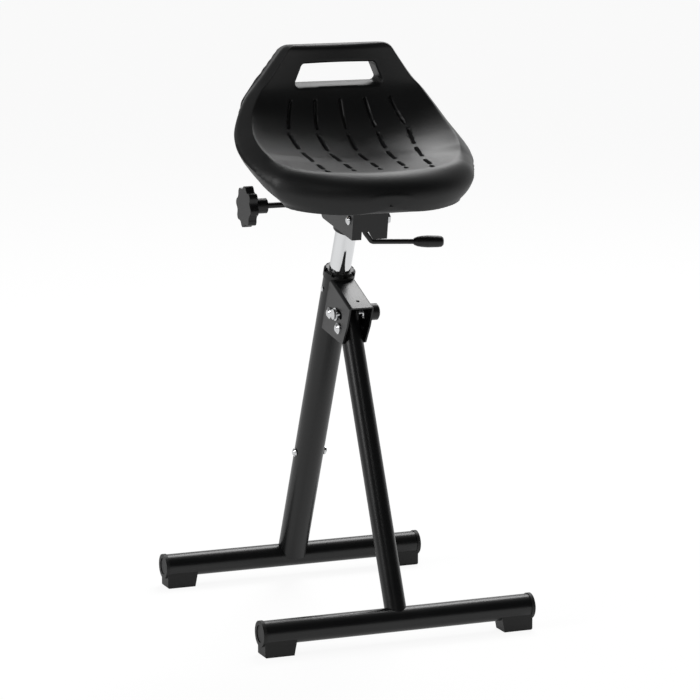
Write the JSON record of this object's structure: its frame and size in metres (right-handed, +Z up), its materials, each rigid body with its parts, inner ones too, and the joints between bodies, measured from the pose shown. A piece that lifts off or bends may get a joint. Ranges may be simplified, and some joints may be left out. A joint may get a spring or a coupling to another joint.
{
  "type": "perch stool",
  "caption": "Folding sit-stand perch stool: dished tilting seat with hand slot, gas lift with lever, two tube legs hinged under a clamp knob, T feet.",
  "frame": {"origin": "on the floor, midway between the two foot tubes and between their ends", "axes": "+Z up, -Y towards the sitter's feet side (front leg), +X towards the release lever"},
  "size_m": [0.4, 0.4356, 0.7976],
  "materials": {
    "seat_skin": "matt black integral skin over foam, fine grain",
    "frame_paint": "black powder coat, satin",
    "foot_rubber": "black moulded, matt",
    "black_plastic": "black moulded, satin",
    "black_rod": "black, satin",
    "zinc_fasteners": "bright zinc plated",
    "chrome_lift": "polished",
    "steel_rod": "ground",
    "insert_board": "plain plywood"
  },
  "bodies": {
    "frame": {"rear_foot_tube": "frame_paint", "rear_left_foot_cap": "foot_rubber", "rear_right_foot_cap": "foot_rubber", "column_tube": "frame_paint", "hinge_bracket": "frame_paint", "hinge_bolt": "zinc_fasteners", "hinge_nut": "zinc_fasteners", "stop_bolt": "zinc_fasteners", "stop_nut": "zinc_fasteners", "stop_spacer": "zinc_fasteners", "guide_bush": "black_plastic", "bush_screw": "zinc_fasteners", "piston_rod": "steel_rod", "rod_pin": "zinc_fasteners", "rod_pin_clip": "zinc_fasteners"},
    "leg": {"front_foot_tube": "frame_paint", "front_left_foot_cap": "foot_rubber", "front_right_foot_cap": "foot_rubber", "leg_tube": "frame_paint", "hinge_sleeve": "black_plastic", "leg_plug": "foot_rubber", "clamp_pin": "zinc_fasteners", "clamp_left_washer": "zinc_fasteners", "clamp_right_washer": "zinc_fasteners"},
    "leg_knob": {"clamp_knob": "black_plastic"},
    "lift": {"lift_cylinder": "chrome_lift"},
    "release": {"release_pin": "steel_rod"},
    "mount": {"seat_carrier": "frame_paint", "cone_socket": "frame_paint", "socket_plate": "frame_paint"},
    "lever": {"lever_rod": "black_rod", "lever_grip": "black_plastic"},
    "seat": {"seat_bracket": "frame_paint", "seat_insert": "insert_board", "seat_pad": "seat_skin", "seat_screws": "zinc_fasteners", "tilt_bolt": "zinc_fasteners", "tilt_nut": "zinc_fasteners", "clamp_nut": "zinc_fasteners"},
    "tilt_knob": {"clamp_rod": "black_rod", "star_knob": "black_plastic"}
  },
  "joints": [
    {"name": "leg_fold", "type": "hinge", "parent": "frame", "child": "leg", "pos_m": [0, -0.03078, 0.40675], "axis": [1, 0, 0], "range_deg": [0, 47]},
    {"name": "leg_knob_turn", "type": "hinge", "parent": "leg", "child": "leg_knob", "pos_m": [0, -0.02237, 0.42545], "axis": [1, 0, 0], "range_deg": [0, 270]},
    {"name": "seat_height", "type": "slide", "parent": "frame", "child": "lift", "axis": [0, -0.3899, 0.9208], "range_m": [0, 0.2]},
    {"name": "release_press", "type": "slide", "parent": "lift", "child": "release", "axis": [0, -0.3899, 0.9208], "range_m": [-0.0022, 0]},
    {"name": "seat_swivel", "type": "hinge", "parent": "lift", "child": "mount", "pos_m": [0, 0.00504, 0.49142], "axis": [0, -0.3899, 0.9208], "continuous": true},
    {"name": "lever_lift", "type": "hinge", "parent": "mount", "child": "lever", "pos_m": [0.01, -0.03349, 0.5824], "axis": [0, -0.9877, -0.1564], "range_deg": [0, 8], "stiffness_Nm_per_rad": 1.5, "springref_deg": -5.73},
    {"name": "seat_tilt", "type": "hinge", "parent": "mount", "child": "seat", "pos_m": [0, -0.08996, 0.56598], "axis": [1, 0, 0], "range_deg": [-5, 5]},
    {"name": "tilt_knob_turn", "type": "hinge", "parent": "seat", "child": "tilt_knob", "pos_m": [0, -0.00304, 0.57975], "axis": [1, 0, 0], "range_deg": [-270, 0]}
  ],
  "couplings": [
    {"joint": "release_press", "follows": "lever_lift", "m_per_rad": -0.0145}
  ]
}
